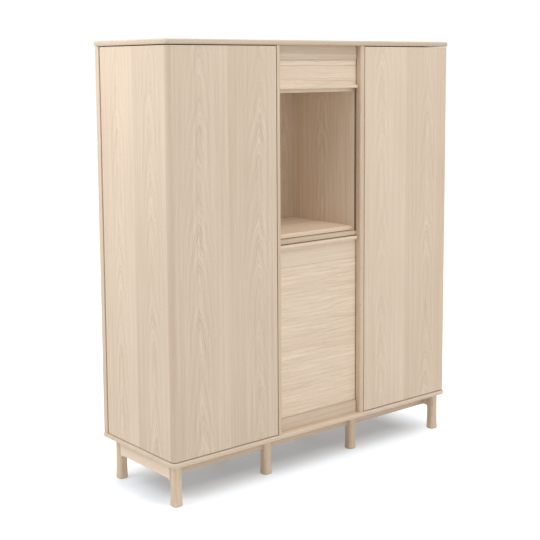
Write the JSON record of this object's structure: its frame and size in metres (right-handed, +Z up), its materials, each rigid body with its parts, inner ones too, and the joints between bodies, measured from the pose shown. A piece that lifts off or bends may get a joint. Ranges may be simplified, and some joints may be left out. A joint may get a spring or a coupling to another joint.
{
  "type": "highboard with tambour column",
  "caption": "Tall oak highboard on a leg frame, with wrap-round corner doors and a centre column closed by roll fronts.",
  "frame": {"origin": "on the floor under the middle of the top board", "axes": "+Z up, -Y to the front of the cabinet, +X to the right seen from the front"},
  "size_m": [1.37, 0.46, 1.6],
  "materials": {
    "oak_veneer": "soaped oak, matt",
    "oak_solid": "soaped oak, matt",
    "oak_tambour": "soaped oak, matt",
    "oak_inside": "oak veneer, matt",
    "steel": "brushed",
    "brass": "turned",
    "grey_plastic": "matt"
  },
  "bodies": {
    "carcass": {"column_top_rail": "oak_solid", "column_plinth_rail": "oak_solid", "tambour_stop_rail": "oak_solid", "front_left_leg": "oak_solid", "front_right_leg": "oak_solid", "back_left_leg": "oak_solid", "back_right_leg": "oak_solid", "front_centre_left_leg": "oak_solid", "front_centre_right_leg": "oak_solid", "back_centre_left_leg": "oak_solid", "back_centre_right_leg": "oak_solid", "left_side_apron": "oak_solid", "right_side_apron": "oak_solid", "front_long_rail": "oak_solid", "back_long_rail": "oak_solid", "niche_ceiling": "oak_inside", "niche_floor": "oak_inside", "niche_back_panel": "oak_inside", "lower_back_panel": "oak_inside", "lower_compartment_floor": "oak_inside", "lower_compartment_shelf": "oak_inside", "centre_back_panel": "oak_inside", "left_back_panel": "oak_inside", "right_back_panel": "oak_inside", "left_bay_shelf_1": "oak_inside", "left_bay_shelf_2": "oak_inside", "left_bay_shelf_3": "oak_inside", "right_bay_shelf_1": "oak_inside", "right_bay_shelf_2": "oak_inside", "right_bay_shelf_3": "oak_inside", "top_board": "oak_veneer", "bottom_board": "oak_veneer", "left_divider": "oak_veneer", "right_divider": "oak_veneer", "left_back_post": "oak_veneer", "right_back_post": "oak_veneer", "upper_tambour_curtain": "oak_tambour", "lower_tambour_curtain": "oak_tambour", "left_lower_pivot": "steel", "left_upper_pivot": "steel", "right_lower_pivot": "steel", "right_upper_pivot": "steel", "left_latch_body": "grey_plastic", "right_latch_body": "grey_plastic"},
    "left_door": {"left_corner_door": "oak_veneer", "left_lower_bush": "brass", "left_upper_bush": "brass", "left_strike_plate": "steel"},
    "left_latch_button": {"left_latch_plunger": "steel"},
    "right_door": {"right_corner_door": "oak_veneer", "right_lower_bush": "brass", "right_upper_bush": "brass", "right_strike_plate": "steel"},
    "right_latch_button": {"right_latch_plunger": "steel"},
    "upper_tambour": {"upper_tambour_lead": "oak_tambour"},
    "lower_tambour": {"lower_tambour_lead": "oak_tambour"}
  },
  "joints": [
    {"name": "left_door_swing", "type": "hinge", "parent": "carcass", "child": "left_door", "pos_m": [-0.671, 0.191, 0.8735], "axis": [0, 0, -1], "range_deg": [0, 95]},
    {"name": "left_latch_press", "type": "slide", "parent": "carcass", "child": "left_latch_button", "axis": [0, 1, 0], "range_m": [0, 0.003], "stiffness_N_per_m": 400, "springref_m": -0.005},
    {"name": "right_door_swing", "type": "hinge", "parent": "carcass", "child": "right_door", "pos_m": [0.671, 0.191, 0.8735], "axis": [0, 0, 1], "range_deg": [0, 95]},
    {"name": "right_latch_press", "type": "slide", "parent": "carcass", "child": "right_latch_button", "axis": [0, 1, 0], "range_m": [0, 0.003], "stiffness_N_per_m": 400, "springref_m": -0.005},
    {"name": "upper_tambour_slide", "type": "slide", "parent": "carcass", "child": "upper_tambour", "axis": [0, 0, -1], "range_m": [0, 0.5445], "deforming": ["upper_tambour_curtain"]},
    {"name": "lower_tambour_slide", "type": "slide", "parent": "carcass", "child": "lower_tambour", "axis": [0, 0, -1], "range_m": [0, 0.54], "deforming": ["lower_tambour_curtain"]}
  ]
}
